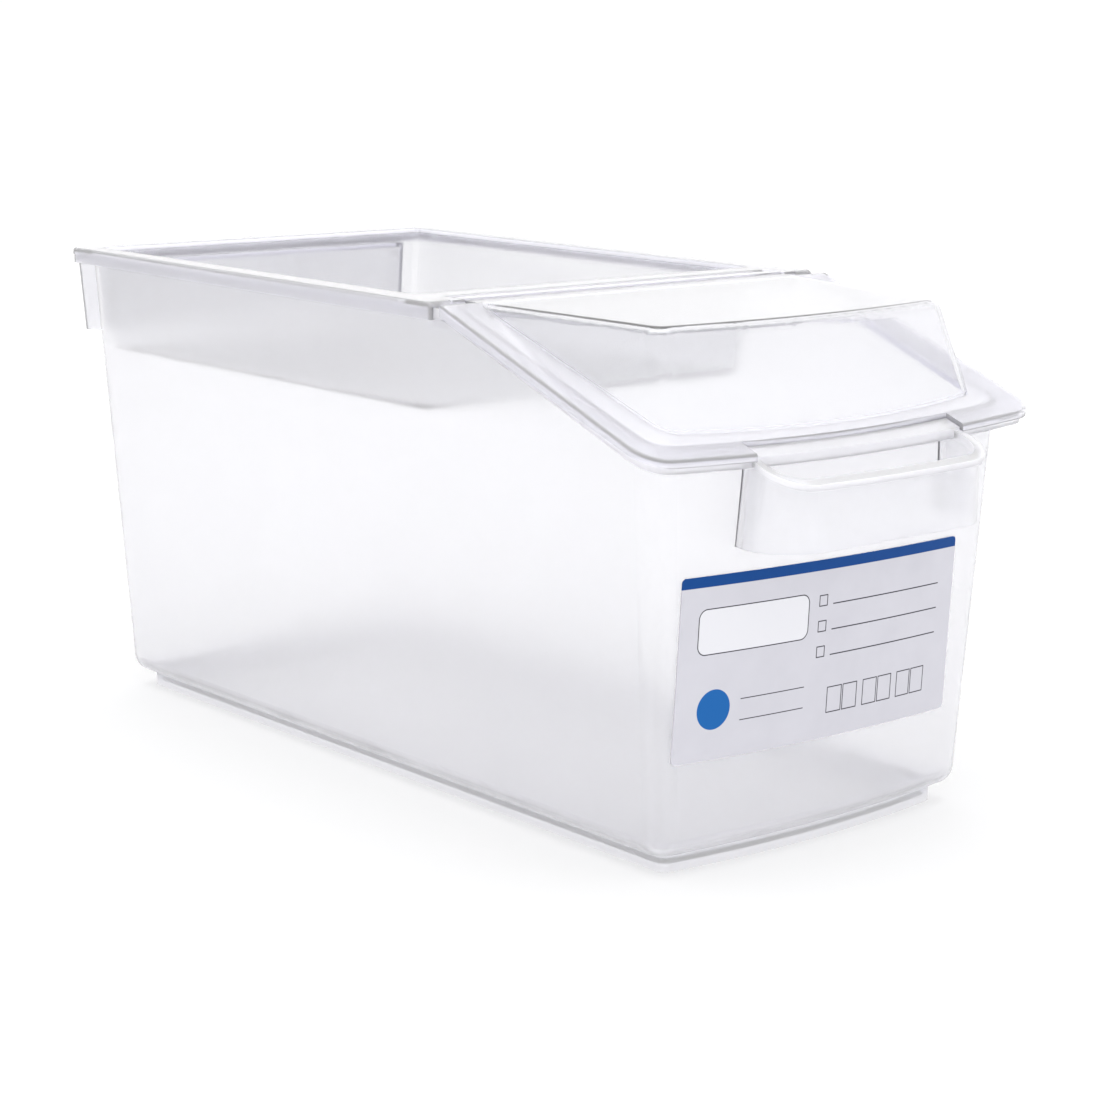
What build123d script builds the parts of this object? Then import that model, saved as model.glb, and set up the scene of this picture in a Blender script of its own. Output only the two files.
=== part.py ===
from build123d import *
import os
from math import cos, radians, sin, tan

# Ingredient bin for a shelf or a counter: a moulded bin with a foot and two grips, a tray that drops
# into its mouth from above, a domed lid hinged on the tray, and a paper label on the front wall.
# Millimetres. X runs across the bin, -Y is the front, Z is up. The origin is on the surface that the
# bin stands on, halfway between the tips of the two grips.

# Overall size
length = 480.0
width = 230.0
deck_height = 227.0

# Bin wall, drafted on all sides and bowed at the front
wall = 2.0
side_draft = 4.16
end_draft = 2.06
front_bow = 6.5
corner_radius_base = 10.5
corner_radius_top = 14.0

# Foot: a plinth that the floor steps down into, set in from the walls
foot_height = 8.0
foot_side_set = 8.8
foot_rear_set = 8.7
foot_front_set = 7.6
foot_radius = 4.0
foot_recess = 3.0
foot_land = 3.0
floor = 2.4
base_round = 9.0

# Deck: the top of the tray's rim and of the lid's flange, level and then falling to the front
knee = -83.5
front_slope = 20.4
cover_wall = 2.2
cover_gap = 0.3

# Rim of the bin, hidden under the covers except at the notch of the lid
rim_overhang_side = 5.5
rim_overhang_rear = 2.8
rim_overhang_front = 7.4
rim_taper = 4.0
rim_plate = 2.2
rim_lip = 4.4
rim_lip_wall = 2.0
rim_radius_rear = 0.6
rim_radius_front = 12.5
rim_radius_least = 0.6

# Skirts of the covers, which hang outside the rim
skirt_wall = 2.0
skirt_gap = 0.4
tray_skirt = 7.5
tray_bead = 3.2
tray_bead_step = 0.5
lid_skirt_rear = 5.3
lid_skirt_front = 3.1
edge_round = 1.8

# Hinge between the lid and the tray
hinge_behind_knee = 15.0
hinge_drop = 5.0
hinge_end_set = 17.6
hinge_radius = 5.0
hinge_wall = 2.0
hinge_side_gap = 0.5
hinge_cap = 4.0
lip_end_angle = -75.0
pin_radius = 2.5
pin_length = 6.0
pin_clearance = 0.05
seam = 1.0
cheek = 7.5
cheek_front = 8.0
cheek_below = 8.0
arm_reach = 10.0
arm_radius = 5.0

# Tray
basin_depth = 49.0
basin_floor = 2.2
basin_wall = 2.0
basin_side_set = 3.4
basin_rear_set = 1.6
basin_behind_hinge = 20.0
basin_side_draft = 7.5
basin_rear_draft = 6.0
basin_front_draft = 2.0
basin_radius = 4.0
basin_round = 2.5
basin_edge_round = 1.0
tray_nose = 4.5

# Lid: the dome over the mouth, set in from the rim, and the notch over the front grip
lid_start_set = 0.5
dome_rear_side_set = 15.3
dome_front_side_set = 21.3
dome_front_set = 12.9
dome_bow = 7.0
dome_side_draft = 12.2
dome_front_draft = 18.2
dome_step = 0.6
dome_step_before_hinge = 6.5
dome_fall = 0.9
dome_radius = 9.0
dome_round = 6.0
dome_wall = 2.0
notch_side_clearance = 3.0
notch_depth = 9.5

# Front grip: a band that stands off the front wall, open above and below, with a lip round its top
grip_depth = 30.45
grip_bow = 1.5
grip_wall = 2.2
grip_bottom = 137.5
grip_bottom_root_half = 59.5
grip_bottom_corner_half = 69.0
grip_bottom_radius = 20.0
grip_top_root_half = 58.0
grip_top_corner_half = 61.5
grip_top_radius = 14.0
grip_drop = 3.5
grip_lip = 2.4
grip_lip_out = 2.0

# Rear grip: a channel under the rim, open beneath
rear_grip_depth = 24.2
rear_grip_side_set = 8.0
rear_grip_flare = 6.0
rear_grip_bottom = 183.0
rear_grip_below_rim = 1.2
rear_grip_wall = 2.2
rear_grip_radius = 3.0
rear_grip_round = 1.5

# Label, set in from the corners of the front wall
label_left_set = 9.6
label_right_set = 23.6
label_height = 77.5
label_middle_z = 87.1
label_turn = 0.85
label_thickness = 0.4
label_glue = 0.1
label_radius = 2.0

# Sizes that follow from the ones above
slope = tan(radians(front_slope))
reach = length / 2
rim_drop = cover_wall + cover_gap
rim_height = deck_height - rim_drop
skirt_out = skirt_gap + skirt_wall
rim_half = width / 2 - skirt_out
wall_half_base = rim_half - rim_overhang_side - rim_height * tan(radians(side_draft))
wall_rear_base = reach - rear_grip_depth - rear_grip_bottom * tan(radians(end_draft))
wall_front_base = reach - grip_depth - grip_bottom * tan(radians(end_draft))
foot_half = wall_half_base - foot_side_set
foot_rear = wall_rear_base - foot_rear_set
foot_front = wall_front_base - foot_front_set
hinge_y = knee + hinge_behind_knee
hinge_z = deck_height - hinge_drop
hinge_half = rim_half - hinge_end_set
seam_y = hinge_y + hinge_radius + seam
arm_front = hinge_y - arm_reach
arm_inner = hinge_half + hinge_side_gap
notch_half = grip_top_root_half + notch_side_clearance

# Blocks that only cut reach past everything, a little ahead of the front grip and above the deck
far = 400.0
overrun = 20.0
ahead = reach + overrun
high = deck_height + overrun


def wall_half(z):
    """Half width of the bin's outside at a height."""
    return wall_half_base + z * tan(radians(side_draft))


def wall_rear(z):
    """Distance of the rear wall's outside behind the origin at a height."""
    return wall_rear_base + z * tan(radians(end_draft))


def wall_front(z):
    """Distance of the front wall's outside in front of the origin at a height, at mid width."""
    return wall_front_base + z * tan(radians(end_draft))


def deck(y):
    """Height of the covers' top over a point of the plan."""
    return deck_height - slope * max(0.0, knee - y)


rim_rear = wall_rear(rim_height) + rim_overhang_rear
front_height = deck(-wall_front_base) - rim_drop
rim_front = wall_front(front_height) + rim_overhang_front


def outline(half_rear, half_front, rear, front, bow, rear_radius, front_radius):
    """Plan outline with straight sides and rear, a bowed front and round corners, sharp at the rear for 0."""
    with BuildSketch() as plan:
        with BuildLine():
            Polyline((-half_front, bow - front), (-half_rear, rear), (half_rear, rear), (half_front, bow - front))
            ThreePointArc((half_front, bow - front), (0, -front), (-half_front, bow - front))
        make_face()
        if rear_radius > 0:
            fillet(plan.vertices().group_by(Axis.Y)[-1], rear_radius)
        fillet(plan.vertices().group_by(Axis.Y)[0], front_radius)
    return plan.sketch


def wall_outline(z, inset, radius):
    """Plan outline of the bin's wall at a height, moved inwards by inset."""
    half = wall_half(z) - inset
    return outline(half, half, wall_rear(z) - inset, wall_front(z) - inset, front_bow, radius, radius)


def foot_outline(inset):
    """Plan outline of the foot, moved inwards by inset."""
    half = foot_half - inset
    return outline(half, half, foot_rear - inset, foot_front - inset, front_bow, foot_radius, foot_radius)


def rim_outline(inset):
    """Plan outline of the bin's rim, moved inwards by inset, or outwards where inset is negative."""
    half = rim_half - inset
    rear_half = half - rim_taper
    rear = rim_rear - inset
    front = rim_front - inset
    with BuildSketch() as plan:
        with BuildLine():
            Polyline(
                (-half, front_bow - front), (-half, seam_y), (-rear_half, rear),
                (rear_half, rear), (half, seam_y), (half, front_bow - front),
            )
            ThreePointArc((half, front_bow - front), (0, -front), (-half, front_bow - front))
        make_face()
        fillet(plan.vertices().group_by(Axis.Y)[-1], max(rim_radius_rear - inset, rim_radius_least))
        fillet(plan.vertices().group_by(Axis.Y)[0], max(rim_radius_front - inset, rim_radius_least))
    return plan.sketch


def side_block(points):
    """Block right across the bin over an outline in side view, given as (y, z) points."""
    with BuildPart() as block:
        with BuildSketch(Plane.YZ):
            with BuildLine():
                Polyline(*points, close=True)
            make_face()
        extrude(amount=far, both=True)
    return block.part


def strip(top, bottom, bottom_front=None):
    """Block between two lines that follow the deck in side view, given as drops below it."""
    end = bottom if bottom_front is None else bottom_front
    run = (end - bottom) / (knee + rim_front)
    points = [
        (far, deck_height - top),
        (knee, deck_height - top),
        (-ahead, deck(-ahead) - top),
        (-ahead, deck(-ahead) - bottom - run * (knee + ahead)),
        (knee, deck_height - bottom),
        (far, deck_height - bottom),
    ]
    return side_block(points)


def prism(sketch, bottom, top):
    """Upright block over a plan outline."""
    with BuildPart() as block:
        with BuildSketch(Plane.XY.offset(bottom)):
            add(sketch)
        extrude(amount=top - bottom)
    return block.part


def frustum(lower, bottom, upper, top):
    """Block with straight drafted sides between two plan outlines."""
    with BuildPart() as block:
        with BuildSketch(Plane.XY.offset(bottom)):
            add(lower)
        with BuildSketch(Plane.XY.offset(top)):
            add(upper)
        loft(ruled=True)
    return block.part


# Hollow of the bin, with the step of the foot in its floor
inside_floor = foot_height + floor
with BuildPart() as hollow:
    add(frustum(wall_outline(inside_floor, wall, corner_radius_base - wall), inside_floor,
                wall_outline(high, wall, corner_radius_top - wall), high))
    fillet(hollow.faces().sort_by(Axis.Z)[0].edges(), base_round - wall)
    with BuildSketch(Plane.XY.offset(foot_recess + floor)):
        add(foot_outline(foot_land))
    extrude(amount=inside_floor - foot_recess)

# Front grip: a band round a hand's space, its top parallel to the slope of the rim
grip_root = wall_front(grip_bottom) - front_bow - grip_bow


def grip_outline(outside, root_half, corner_half, radius):
    """Plan outline of the front grip with the hand's space, run back into the bin."""
    edge = grip_bow - outside
    with BuildSketch() as plan:
        with BuildLine():
            Polyline((corner_half, edge), (root_half, -grip_root), (root_half, 0),
                     (-root_half, 0), (-root_half, -grip_root), (-corner_half, edge))
            ThreePointArc((-corner_half, edge), (0, -outside), (corner_half, edge))
        make_face()
        fillet(plan.vertices().group_by(Axis.Y)[0], radius)
    return plan.sketch


def grip_block(inset):
    """Solid of the front grip with the hand's space, its sides moved inwards by inset."""
    outside = reach - grip_lip_out - inset
    lower = grip_outline(outside, grip_bottom_root_half - inset,
                         grip_bottom_corner_half - inset, grip_bottom_radius - inset)
    upper = grip_outline(outside, grip_top_root_half - inset,
                         grip_top_corner_half - inset, grip_top_radius - inset)
    return frustum(lower, grip_bottom, upper, front_height)


with BuildPart() as front_grip:
    add(grip_block(0) - strip(-far, grip_drop))
    add(grip_block(-grip_lip_out) & strip(grip_drop, grip_drop + grip_lip))
    add(grip_block(grip_wall), mode=Mode.SUBTRACT)

# Rear grip: a drafted channel that the rim's underside closes, open beneath
rear_grip_top = rim_height - rim_lip - rear_grip_below_rim


def rear_grip_outline(z, inset):
    """Plan outline of the rear grip at a height, run forward into the bin and moved inwards by inset."""
    half = wall_half(z) - rear_grip_side_set - inset
    rear = reach - inset - (rear_grip_top - rear_grip_round - z) * tan(radians(end_draft))
    root_half = half - rear_grip_flare
    root = wall_rear(rear_grip_bottom)
    with BuildSketch() as plan:
        with BuildLine():
            Polyline((half, rear), (root_half, root), (root_half, 0),
                     (-root_half, 0), (-root_half, root), (-half, rear), close=True)
        make_face()
        fillet(plan.vertices().group_by(Axis.Y)[-1], rear_grip_radius - inset)
    return plan.sketch


with BuildPart() as rear_grip:
    add(frustum(rear_grip_outline(rear_grip_bottom, 0), rear_grip_bottom,
                rear_grip_outline(rear_grip_top, 0), rear_grip_top))
    top_face = rear_grip.faces().sort_by(Axis.Z)[-1]
    fillet(top_face.edges().group_by(Axis.Y)[-1], rear_grip_round)
    ceiling = rear_grip_top - rear_grip_wall
    add(frustum(rear_grip_outline(rear_grip_bottom, rear_grip_wall), rear_grip_bottom,
                rear_grip_outline(ceiling, rear_grip_wall), ceiling), mode=Mode.SUBTRACT)

# Rim of the bin: a flange that the covers rest on, and its turned-down lip
rim_block = prism(rim_outline(0), 0, high)
rim_flange = rim_block & strip(rim_drop, rim_drop + rim_plate)
rim_edge = (rim_block - prism(rim_outline(rim_lip_wall), 0, high)) & strip(rim_drop, rim_drop + rim_lip)

with BuildPart() as bin_body:
    add(frustum(wall_outline(foot_height, 0, corner_radius_base), foot_height,
                wall_outline(high, 0, corner_radius_top), high))
    fillet(bin_body.faces().sort_by(Axis.Z)[0].edges(), base_round)
    with BuildSketch():
        add(foot_outline(0))
    extrude(amount=inside_floor)
    with BuildSketch():
        add(foot_outline(foot_land))
    extrude(amount=foot_recess, mode=Mode.SUBTRACT)
    add(front_grip.part)
    add(rear_grip.part)
    add(strip(-far, rim_drop), mode=Mode.SUBTRACT)
    add(rim_flange)
    add(rim_edge)
    add(hollow.part, mode=Mode.SUBTRACT)

# Tray: rim, arms, basin, nose and hinge cheeks
tray_bottom = deck_height - tray_skirt
basin_bottom = deck_height - basin_depth
basin_half = wall_half(rim_height) - wall - basin_side_set - basin_wall
basin_rear = wall_rear(rim_height) - wall - basin_rear_set - basin_wall
basin_front = hinge_y + basin_behind_hinge


def basin_outline(z, inset):
    """Plan outline of the basin's inside at a height, moved inwards by inset."""
    below_deck = deck_height - z
    half = basin_half - inset - below_deck * tan(radians(basin_side_draft))
    rear = basin_rear - inset - below_deck * tan(radians(basin_rear_draft))
    front = basin_front + inset + below_deck * tan(radians(basin_front_draft))
    with BuildSketch() as plan:
        with BuildLine():
            Polyline((-half, front), (-half, rear), (half, rear), (half, front), close=True)
        make_face()
        fillet(plan.vertices(), basin_radius - inset)
    return plan.sketch


with BuildPart() as basin:
    add(frustum(basin_outline(basin_bottom, 0), basin_bottom, basin_outline(deck_height, 0), deck_height))
    fillet(basin.faces().sort_by(Axis.Z)[0].edges(), basin_round)

with BuildPart() as basin_shell:
    shell_bottom = basin_bottom - basin_floor
    shell_top = deck_height - cover_wall
    add(frustum(basin_outline(shell_bottom, -basin_wall), shell_bottom,
                basin_outline(shell_top, -basin_wall), shell_top))
    fillet(basin_shell.faces().sort_by(Axis.Z)[0].edges(), basin_round + basin_wall)

with BuildPart() as tray:
    with BuildSketch(Plane.XY.offset(tray_bottom)):
        add(rim_outline(-skirt_out))
    extrude(amount=tray_skirt)
    fillet(tray.faces().sort_by(Axis.Z)[-1].edges(), edge_round)
    with BuildSketch(Plane.XY.offset(tray_bottom)):
        with Locations((0, arm_front - far / 2)):
            Rectangle(far, far)
        with Locations((0, seam_y - far / 2)):
            Rectangle(2 * arm_inner, far)
    extrude(amount=tray_skirt, mode=Mode.SUBTRACT)
    arm_ends = tray.edges().filter_by(Axis.Z).group_by(Axis.Y)[0].sort_by(Axis.X)
    fillet([arm_ends[0], arm_ends[-1]], arm_radius)
    with BuildSketch(Plane.XY.offset(tray_bottom)):
        add(rim_outline(-skirt_gap))
    extrude(amount=tray_skirt - cover_wall, mode=Mode.SUBTRACT)
    with BuildSketch(Plane.XY.offset(tray_bottom)):
        add(rim_outline(-skirt_out - tray_bead_step))
        add(rim_outline(tray_bead_step - skirt_out), mode=Mode.SUBTRACT)
    extrude(amount=tray_skirt - tray_bead, mode=Mode.SUBTRACT)
    with BuildSketch(Plane.XY.offset(deck_height - tray_nose)):
        with Locations((0, seam_y + skirt_wall / 2)):
            Rectangle(2 * arm_inner, skirt_wall)
    extrude(amount=tray_nose)
    nose_edges = tray.edges().filter_by(Axis.X).filter_by_position(Axis.Y, seam_y - seam, seam_y + seam)
    fillet(nose_edges.group_by(Axis.Z)[-1], edge_round)
    add(basin_shell.part)
    add(basin.part, mode=Mode.SUBTRACT)
    deck_face = tray.faces().filter_by(Axis.Z).group_by(Axis.Z)[-1].sort_by(SortBy.AREA)[-1]
    fillet(deck_face.inner_wires().edges(), basin_edge_round)
    for side in (1, -1):
        with BuildSketch(Plane.YZ.offset(side * arm_inner)):
            with Locations((hinge_y, hinge_z)):
                Rectangle(2 * cheek_front, 2 * cheek_below)
        extrude(amount=side * cheek)
        with BuildSketch(Plane.YZ.offset(side * arm_inner)):
            with Locations((hinge_y, hinge_z)):
                Circle(pin_radius + pin_clearance)
        extrude(amount=side * pin_length, mode=Mode.SUBTRACT)
    add(strip(-far, 0), mode=Mode.SUBTRACT)

# Lid: flange and skirt on the slope, hinge lip, dome and notch
lid_start = knee - lid_start_set
step_line = hinge_y - dome_step_before_hinge
dome_front = rim_front - dome_front_set
dome_half_rear = rim_half - dome_rear_side_set
dome_half_front = rim_half - dome_front_side_set
dome_corner = dome_bow - dome_front
dome_narrowing = (dome_half_rear - dome_half_front) / (lid_start - dome_corner)


def dome_top(y):
    """Height of the dome's top over a point of the plan."""
    return deck_height - dome_step - max(0.0, step_line - y) * tan(radians(dome_fall))


def above_dome(inset):
    """Block over the dome's top, lowered by inset."""
    points = [(far, high), (far, dome_top(far) - inset), (step_line, dome_top(step_line) - inset),
              (-far, dome_top(-far) - inset), (-far, high)]
    return side_block(points)


def dome_outline(z, inset, rear):
    """Plan outline of the dome at a height, moved inwards by inset."""
    front = dome_front - inset - (z - deck(-dome_front)) * tan(radians(dome_front_draft))
    halves = []
    for y in (rear, dome_bow - front):
        at_deck = dome_half_rear - (lid_start - y) * dome_narrowing
        halves.append(at_deck - inset - (z - deck(y)) * tan(radians(dome_side_draft)))
    return outline(*halves, rear, front, dome_bow, 0, dome_radius - inset)


def dome_block(inset, rear):
    """Solid of the dome's outside, or of its hollow where inset is the wall."""
    bottom = deck(-dome_front) - 4 * cover_wall
    with BuildPart() as block:
        add(frustum(dome_outline(bottom, inset, rear), bottom, dome_outline(high, inset, rear), high))
        add(above_dome(inset), mode=Mode.SUBTRACT)
        top_edges = block.faces().filter_by(lambda f: f.normal_at().Z > 0.9).sort_by(Axis.Z)[-1].edges()
        fillet(top_edges.sort_by(Axis.Y)[:-1], dome_round - inset)
    return block.part


with BuildPart() as notch:
    with BuildSketch():
        with Locations((0, -rim_front)):
            Rectangle(2 * notch_half, 4 * notch_depth)
        add(rim_outline(notch_depth - skirt_out), mode=Mode.SUBTRACT)
    extrude(amount=high)

with BuildPart() as lid:
    add(prism(rim_outline(-skirt_out), 0, high) & strip(0, lid_skirt_rear, lid_skirt_front))
    with BuildSketch():
        with Locations((0, lid_start + far / 2)):
            Rectangle(far, far)
    extrude(amount=high, mode=Mode.SUBTRACT)
    flange_top = lid.faces().filter_by(lambda f: f.normal_at().Z > 0.9).sort_by(Axis.Z)[-1]
    fillet(flange_top.edges().sort_by(Axis.Y)[:-1], edge_round)
    add(prism(rim_outline(-skirt_gap), 0, high) & strip(cover_wall, far), mode=Mode.SUBTRACT)
    add(dome_block(0, lid_start) & strip(-far, cover_wall))
    with BuildSketch(Plane.XY.offset(deck_height - dome_step - cover_wall)):
        with Locations((0, (lid_start + hinge_y) / 2)):
            Rectangle(2 * hinge_half, hinge_y - lid_start)
    extrude(amount=cover_wall)
    add(above_dome(0), mode=Mode.SUBTRACT)
    add(dome_block(dome_wall, lid_start - 2 * cover_wall), mode=Mode.SUBTRACT)
    add(notch.part, mode=Mode.SUBTRACT)
    with BuildSketch(Plane.YZ):
        with BuildLine():
            lip_end = radians(lip_end_angle)
            inner = hinge_radius - hinge_wall
            CenterArc((hinge_y, hinge_z), hinge_radius, lip_end_angle, 90 - lip_end_angle)
            Polyline((hinge_y, deck_height), (step_line, deck_height), (step_line, deck_height - hinge_wall),
                     (hinge_y, deck_height - hinge_wall))
            CenterArc((hinge_y, hinge_z), inner, lip_end_angle, 90 - lip_end_angle)
            Line((hinge_y + inner * cos(lip_end), hinge_z + inner * sin(lip_end)),
                 (hinge_y + hinge_radius * cos(lip_end), hinge_z + hinge_radius * sin(lip_end)))
        make_face()
    extrude(amount=hinge_half, both=True)
    for side in (1, -1):
        with BuildSketch(Plane.YZ.offset(side * (hinge_half - hinge_cap))):
            with Locations((hinge_y, hinge_z)):
                Circle(hinge_radius)
        extrude(amount=side * hinge_cap)
        with BuildSketch(Plane.YZ.offset(side * hinge_half)):
            with Locations((hinge_y, hinge_z)):
                Circle(pin_radius)
        extrude(amount=side * pin_length)

# Label: a sheet that follows the bowed and drafted front wall
label_left = label_left_set - wall_half(label_middle_z)
label_right = wall_half(label_middle_z) - label_right_set
label_top = label_middle_z + label_height
label_outside = label_glue + label_thickness
with BuildPart() as label:
    add(frustum(wall_outline(0, -label_outside, corner_radius_base), 0,
                wall_outline(label_top, -label_outside, corner_radius_base), label_top))
    add(frustum(wall_outline(0, -label_glue, corner_radius_base), 0,
                wall_outline(label_top, -label_glue, corner_radius_base), label_top), mode=Mode.SUBTRACT)
    with BuildSketch(Plane.XZ):
        with Locations(Location(((label_left + label_right) / 2, label_middle_z), -label_turn)):
            RectangleRounded(label_right - label_left, label_height, label_radius)
    extrude(amount=far, mode=Mode.INTERSECT)

os.makedirs("parts", exist_ok=True)
for piece, name in ((bin_body, "bin"), (tray, "tray"), (lid, "lid"), (label, "label")):
    piece.part.label = name
    export_step(piece.part, "parts/" + name + ".step")
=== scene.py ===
from math import cos, radians, sin, tan

import bmesh
import bpy
from mathutils import Matrix, Vector

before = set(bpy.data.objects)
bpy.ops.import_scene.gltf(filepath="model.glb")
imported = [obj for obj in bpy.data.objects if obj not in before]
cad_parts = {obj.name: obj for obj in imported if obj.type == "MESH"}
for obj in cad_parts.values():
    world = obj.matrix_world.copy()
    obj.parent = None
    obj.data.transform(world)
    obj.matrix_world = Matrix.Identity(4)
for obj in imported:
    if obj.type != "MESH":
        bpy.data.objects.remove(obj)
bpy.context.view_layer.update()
scene = bpy.context.scene

# Camera: fitted to the photograph, whose frame is a square of this many pixels
PHOTO_SIDE = 1100
FOCAL_PIXELS = 2628.5
SENSOR = 36.0
CAMERA_PLACE = Vector((-0.78446, -0.94446, 0.35265))
CAMERA_YAW = radians(40.351)
CAMERA_PITCH = radians(11.906)
CAMERA_ROLL = radians(0.477)
NEAREST = 0.01
FARTHEST = 200.0

# Light: a white room, and panels by name, place, aim, width, height and power
WHITE = (1.0, 1.0, 1.0, 1.0)
WORLD_LIGHT = 1.04
PANELS = (
    ("key", (-1.6, -1.2, 2.2), (0, 0, 0.1), 1.6, 1.6, 3.0),
    ("top", (0.0, 0.1, 2.6), (0, 0, 0.1), 2.6, 2.6, 46.0),
    ("rear", (1.9, 2.3, 0.82), (0, 0, 0.2), 3.2, 0.8, 2.0),
)

# Floor: pale paper that glows a little as a light table does, and more with distance from the bin
FLOOR_REACH = 60.0
FLOOR_PALE = (0.350, 0.350, 0.353, 1.0)
FLOOR_DIM = (0.340, 0.340, 0.343, 1.0)
FLOOR_GRAIN = 3.0
FLOOR_ROUGHNESS = 0.9
FLOOR_SPECULAR = 0.2
GLOW_DISTANCE = (0.3, 1.1)
GLOW = (0.57, 0.66)

# The deck, which the tray's rim and the lid's flange follow: level, and falling in front of the knee
DECK_HEIGHT = 0.227
KNEE = -0.0835
SLOPE = tan(radians(20.4))

# Plastic: its colours where it is thin, on the lid, and where it is thick, and what its depth takes away
PALE = (0.990, 0.990, 0.995, 1.0)
DIM = (0.980, 0.980, 0.988, 1.0)
LID_PALE = (0.950, 0.950, 0.958, 1.0)
LID_DIM = (0.940, 0.940, 0.950, 1.0)
THICK = (0.945, 0.940, 0.990, 1.0)
DEPTH_TINT = (0.40, 0.34, 0.94, 1.0)
PLASTIC_IOR = 1.49
SCATTER_DEPTH = 0.005
CLOUD_SCALE = 11.0
HANDLED_SCALE = 37.0
HANDLED = (0.96, 1.04)
SKIN_SCALE = 420.0
SKIN_DEPTH = 0.0004
NOISE_RANGE = (0.3, 0.7)

# Where the mouldings turn from thin to thick, in metres over the deck or the floor, or from the middle
BIN_RIM = (-0.0085, -0.0065)
BIN_FOOT = (0.0135, 0.0095)
BIN_FRONT_GRIP = (-0.2115, -0.2135)
BIN_REAR_GRIP = (0.2175, 0.2195)
GRIP_SHARE = (0.0, 0.35)
TRAY_TOP = (-0.003, -0.002)
TRAY_SIDE = (0.104, 0.107)
TRAY_REAR = (0.2155, 0.2175)
LID_FLANGE = (0.0014, 0.0004)

# Label: its place in metres, and its colours
MILLIMETRES = 1000.0
LABEL_MIDDLE = Vector((-0.007, 0.0871))
LABEL_TURN = radians(-0.85)
LABEL_PALE = (0.66, 0.655, 0.71, 1.0)
LABEL_DIM = (0.63, 0.625, 0.68, 1.0)
LABEL_GRAIN = 60.0
LABEL_SHEEN_SCALE = 90.0
LABEL_ROUGHNESS = (0.42, 0.48)
LABEL_SPECULAR = 0.12
BAND_BLUE = (0.004, 0.062, 0.262, 1.0)
DISC_BLUE = (0.012, 0.130, 0.420, 1.0)
INK = (0.030, 0.030, 0.040, 1.0)
FIELD = (0.80, 0.80, 0.84, 1.0)

# Label's print, in millimetres from its middle; a box is its left, lower, right and upper edges
BAND_LOWER = 34.25
NAME_FIELD = (-71.0, 6.0, -12.0, 25.0)
FIELD_ROUND = 4.0
ROWS = (19.0, 8.0, -3.0)
SHORT_ROWS = (-15.0, -24.0)
WRITE_LINES = [(2.0, row, 70.0, row + 0.5) for row in ROWS]
WRITE_LINES += [(-47.0, row, -12.0, row + 0.4) for row in SHORT_ROWS]
TICK_SIDE = 4.5
TICK_BOXES = [(-6.0, row, -6.0 + TICK_SIDE, row + TICK_SIDE) for row in ROWS]
DATE_WIDTH = 8.5
DATE_BOXES = [(left, -28.0, left + DATE_WIDTH, -17.0) for left in (2.0, 11.5, 24.0, 33.5, 46.0, 55.5)]
DISC_MIDDLE = (-61.0, -17.5)
DISC_RADIUS = 8.5
OUTLINE = 0.45
INK_EDGE = 0.08


def make_camera():
    """The photograph's viewpoint, as a place, a heading, a downward tilt and a roll."""
    level = cos(CAMERA_PITCH)
    forward = Vector((sin(CAMERA_YAW) * level, cos(CAMERA_YAW) * level, -sin(CAMERA_PITCH)))
    right = forward.cross(Vector((0, 0, 1))).normalized()
    up = right.cross(forward)
    level_right = right * cos(CAMERA_ROLL) + up * sin(CAMERA_ROLL)
    level_up = up * cos(CAMERA_ROLL) - right * sin(CAMERA_ROLL)
    data = bpy.data.cameras.new("camera")
    data.sensor_width = SENSOR
    data.lens = FOCAL_PIXELS / PHOTO_SIDE * SENSOR
    data.clip_start = NEAREST
    data.clip_end = FARTHEST
    camera = bpy.data.objects.new("camera", data)
    scene.collection.objects.link(camera)
    turn = Matrix((level_right, level_up, -forward)).transposed().to_4x4()
    camera.matrix_world = Matrix.Translation(CAMERA_PLACE) @ turn
    scene.camera = camera


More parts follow.
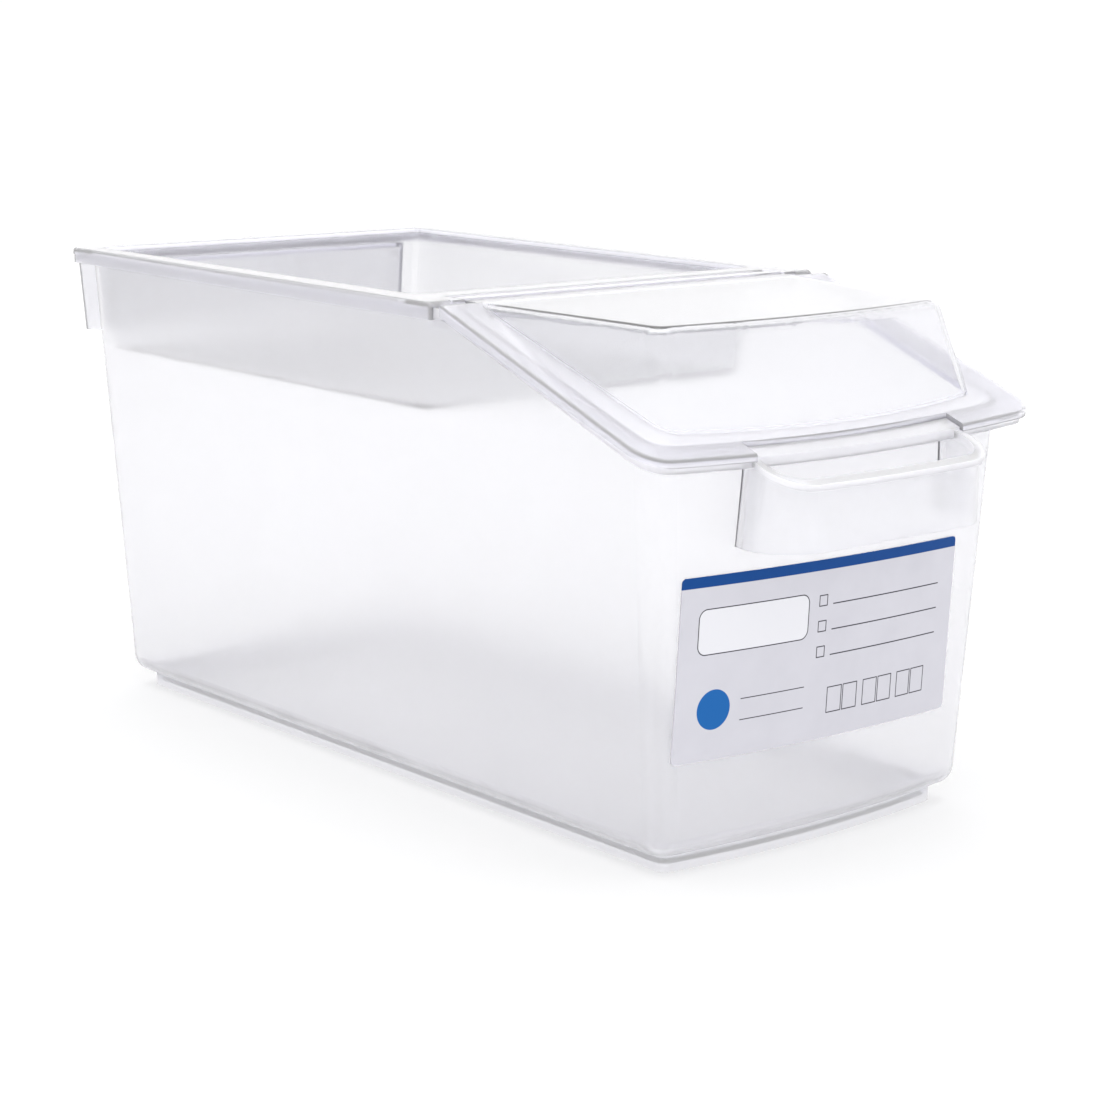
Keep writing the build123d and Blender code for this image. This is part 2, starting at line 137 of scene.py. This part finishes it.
class Paint:
    """A node material with a Principled shader, and short ways to add to its nodes."""

    def __init__(self, name):
        self.material = bpy.data.materials.new(name)
        self.material.use_nodes = True
        self.tree = self.material.node_tree
        self.shader = self.tree.nodes["Principled BSDF"]
        self.output = self.tree.nodes["Material Output"]
        self.place = self.node("ShaderNodeTexCoord").outputs["Object"]
        self.x, self.y, self.z = self.node("ShaderNodeSeparateXYZ", {"Vector": self.place}).outputs

    def feed(self, socket, value):
        """Sets a socket, or links it where the value is another node's output."""
        if isinstance(value, bpy.types.NodeSocket):
            self.tree.links.new(value, socket)
        else:
            socket.default_value = value

    def node(self, kind, inputs=None, **settings):
        """A node with its settings and inputs."""
        node = self.tree.nodes.new(kind)
        for key, value in settings.items():
            setattr(node, key, value)
        for key, value in (inputs or {}).items():
            self.feed(node.inputs[key], value)
        return node

    def set(self, **inputs):
        """Sets the shader's inputs, by name with underscores for spaces."""
        for key, value in inputs.items():
            self.feed(self.shader.inputs[key.replace("_", " ")], value)

    def calc(self, operation, *values):
        """The result of a Math node."""
        node = self.node("ShaderNodeMath", operation=operation)
        for socket, value in zip(node.inputs, values):
            self.feed(socket, value)
        return node.outputs[0]

    def noise(self, scale, detail=3.0, roughness=0.5):
        """A noise's value at the surface, with its scale in features per metre."""
        node = self.node("ShaderNodeTexNoise", {
            "Vector": self.place, "Scale": scale, "Detail": detail, "Roughness": roughness,
        })
        return node.outputs["Fac"]

    def ramp(self, value, from_low, from_high, low=0.0, high=1.0):
        """A value taken from one range into another, and held at its ends."""
        node = self.node("ShaderNodeMapRange", {
            "Value": value, "From Min": from_low, "From Max": from_high, "To Min": low, "To Max": high,
        })
        return node.outputs["Result"]

    def mottle(self, scale, low=0.0, high=1.0, detail=3.0, roughness=0.5):
        """An uneven value between two limits."""
        return self.ramp(self.noise(scale, detail, roughness), *NOISE_RANGE, low, high)

    def blend(self, share, first, second, kind="RGBA"):
        """A mix of two colours or numbers by a share."""
        node = self.node("ShaderNodeMix", data_type=kind)
        wanted = {"RGBA": "RGBA", "FLOAT": "VALUE"}[kind]
        self.feed(node.inputs["Factor"], share)
        for key, value in (("A", first), ("B", second)):
            self.feed(next(s for s in node.inputs if s.name == key and s.type == wanted), value)
        return next(s for s in node.outputs if s.type == wanted)

    def above_deck(self):
        """Height over the deck's plane."""
        before_knee = self.calc("MAXIMUM", self.calc("SUBTRACT", KNEE, self.y), 0.0)
        fall = self.calc("MULTIPLY", before_knee, SLOPE)
        return self.calc("ADD", self.calc("SUBTRACT", self.z, DECK_HEIGHT), fall)

    def any_of(self, *shares):
        """The largest of several shares."""
        most = shares[0]
        for share in shares[1:]:
            most = self.calc("MAXIMUM", most, share)
        return most


def moulded(paint, thick, clear, rough, grain, density, pale=PALE, dim=DIM):
    """See-through moulded polypropylene: faintly cloudy, milkier where it is thick, with the mould's skin.

    clear and rough are pairs, where it is thin and where it is thick. The milky share shows on light that
    enters the plastic, and none is added as it leaves.
    """
    colour = paint.blend(paint.mottle(CLOUD_SCALE, detail=4.0, roughness=0.55), pale, dim)
    handled = paint.mottle(HANDLED_SCALE, *HANDLED, detail=5.0, roughness=0.6)
    skin = paint.noise(SKIN_SCALE, 2.0)
    bump = paint.node("ShaderNodeBump", {"Height": skin, "Strength": grain, "Distance": SKIN_DEPTH})
    leaving = paint.node("ShaderNodeNewGeometry").outputs["Backfacing"]
    paint.set(
        IOR=PLASTIC_IOR,
        Base_Color=paint.blend(thick, colour, THICK),
        Transmission_Weight=paint.any_of(paint.blend(thick, *clear, "FLOAT"), leaving),
        Roughness=paint.calc("MULTIPLY", handled, paint.blend(thick, *rough, "FLOAT")),
        Normal=bump.outputs["Normal"],
        Subsurface_Weight=1.0,
        Subsurface_Radius=(1.0, 1.0, 1.0),
        Subsurface_Scale=SCATTER_DEPTH,
    )
    inside = paint.node("ShaderNodeVolumeAbsorption", {"Color": DEPTH_TINT, "Density": density})
    paint.feed(paint.output.inputs["Volume"], inside.outputs["Volume"])
    return paint.material


def bin_plastic():
    """The bin: thicker at its rim, its foot and its floor, and a little at its two grips."""
    paint = Paint("bin_plastic")
    thick = paint.any_of(
        paint.ramp(paint.above_deck(), *BIN_RIM),
        paint.ramp(paint.z, *BIN_FOOT),
        paint.ramp(paint.y, *BIN_FRONT_GRIP, *GRIP_SHARE),
        paint.ramp(paint.y, *BIN_REAR_GRIP, *GRIP_SHARE),
    )
    return moulded(paint, thick, clear=(0.83, 0.50), rough=(0.20, 0.22), grain=0.02, density=7.5)


def tray_plastic():
    """The tray: thicker at its rim and skirt, outside the basin."""
    paint = Paint("tray_plastic")
    thick = paint.any_of(
        paint.ramp(paint.above_deck(), *TRAY_TOP),
        paint.ramp(paint.calc("ABSOLUTE", paint.x), *TRAY_SIDE),
        paint.ramp(paint.y, *TRAY_REAR),
    )
    return moulded(paint, thick, clear=(0.94, 0.72), rough=(0.15, 0.19), grain=0.02, density=4.0)


def lid_plastic():
    """The lid: a glossy clear dome on a milkier flange and skirt."""
    paint = Paint("lid_plastic")
    flange = paint.ramp(paint.above_deck(), *LID_FLANGE)
    return moulded(paint, flange, clear=(0.93, 0.70), rough=(0.10, 0.17), grain=0.015, density=9.0,
                   pale=LID_PALE, dim=LID_DIM)


def label_film():
    """Pale printed film with a blue band and disc, and blank fields, lines and boxes to fill in."""
    paint = Paint("label_film")
    calc = paint.calc
    across = calc("SUBTRACT", paint.x, LABEL_MIDDLE.x)
    rise = calc("SUBTRACT", paint.z, LABEL_MIDDLE.y)

    def turned(operation, first, second):
        """A coordinate in the label's own plane, in millimetres."""
        parts = (calc("MULTIPLY", first, cos(LABEL_TURN)), calc("MULTIPLY", second, sin(LABEL_TURN)))
        return calc("MULTIPLY", MILLIMETRES, calc(operation, *parts))

    u = turned("ADD", across, rise)
    v = turned("SUBTRACT", rise, across)

    def length(first, second):
        """The length of a line with these two sides."""
        return calc("SQRT", calc("ADD", calc("POWER", first, 2.0), calc("POWER", second, 2.0)))

    def beyond(value, low, high):
        """Distance outside a span, below zero inside it."""
        return calc("SUBTRACT", calc("ABSOLUTE", calc("SUBTRACT", value, (low + high) / 2)), (high - low) / 2)

    def from_box(box, rounding=0.0):
        """Distance outside a box with rounded corners, below zero inside it."""
        left, lower, right, upper = box
        out_u = beyond(u, left + rounding, right - rounding)
        out_v = beyond(v, lower + rounding, upper - rounding)
        outside = length(calc("MAXIMUM", out_u, 0.0), calc("MAXIMUM", out_v, 0.0))
        inside = calc("MINIMUM", calc("MAXIMUM", out_u, out_v), 0.0)
        return calc("SUBTRACT", calc("ADD", outside, inside), rounding)

    def fill(distance):
        """Ink inside an edge, which is as soft as print."""
        return paint.ramp(distance, INK_EDGE, -INK_EDGE)

    def outline(distance):
        """Ink along an edge."""
        return fill(calc("SUBTRACT", calc("ABSOLUTE", distance), OUTLINE / 2))

    name_field = from_box(NAME_FIELD, FIELD_ROUND)
    from_middle = [calc("SUBTRACT", place, middle) for place, middle in zip((u, v), DISC_MIDDLE)]
    from_disc = calc("SUBTRACT", length(*from_middle), DISC_RADIUS)
    printed = [outline(name_field)]
    printed += [fill(from_box(box)) for box in WRITE_LINES]
    printed += [outline(from_box(box)) for box in TICK_BOXES + DATE_BOXES]

    colour = paint.blend(paint.mottle(LABEL_GRAIN), LABEL_PALE, LABEL_DIM)
    colour = paint.blend(fill(name_field), colour, FIELD)
    colour = paint.blend(fill(from_disc), colour, DISC_BLUE)
    colour = paint.blend(paint.any_of(*printed), colour, INK)
    colour = paint.blend(fill(calc("SUBTRACT", BAND_LOWER, v)), colour, BAND_BLUE)
    paint.set(Base_Color=colour, Roughness=paint.mottle(LABEL_SHEEN_SCALE, *LABEL_ROUGHNESS),
              Specular_IOR_Level=LABEL_SPECULAR)
    return paint.material


def make_floor():
    """A plain pale floor that runs out of the picture."""
    mesh = bpy.data.meshes.new("floor")
    plane = bmesh.new()
    bmesh.ops.create_grid(plane, x_segments=1, y_segments=1, size=FLOOR_REACH)
    plane.to_mesh(mesh)
    plane.free()
    floor = bpy.data.objects.new("floor", mesh)
    scene.collection.objects.link(floor)
    paint = Paint("floor_paper")
    away = paint.node("ShaderNodeVectorMath", {"Vector": paint.place}, operation="LENGTH").outputs["Value"]
    paint.set(
        Base_Color=paint.blend(paint.mottle(FLOOR_GRAIN), FLOOR_PALE, FLOOR_DIM),
        Roughness=FLOOR_ROUGHNESS,
        Specular_IOR_Level=FLOOR_SPECULAR,
        Emission_Color=WHITE,
        Emission_Strength=paint.ramp(away, *GLOW_DISTANCE, *GLOW),
    )
    mesh.materials.append(paint.material)


def make_light():
    """Soft studio light from the white room and the panels."""
    world = bpy.data.worlds.new("studio")
    world.use_nodes = True
    background = world.node_tree.nodes["Background"]
    background.inputs["Color"].default_value = WHITE
    background.inputs["Strength"].default_value = WORLD_LIGHT
    scene.world = world
    for name, place, aim, width, height, power in PANELS:
        data = bpy.data.lights.new(name, "AREA")
        data.shape = "RECTANGLE"
        data.size = width
        data.size_y = height
        data.energy = power
        lamp = bpy.data.objects.new(name, data)
        lamp.location = place
        lamp.rotation_mode = "QUATERNION"
        lamp.rotation_quaternion = (Vector(aim) - Vector(place)).to_track_quat("-Z", "Y")
        scene.collection.objects.link(lamp)


make_camera()
make_floor()
make_light()
scene.view_settings.view_transform = "Standard"

MATERIALS = {"bin": bin_plastic(), "tray": tray_plastic(), "lid": lid_plastic(), "label": label_film()}
for node, material in MATERIALS.items():
    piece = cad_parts[node]
    piece.data.materials.clear()
    piece.data.materials.append(material)
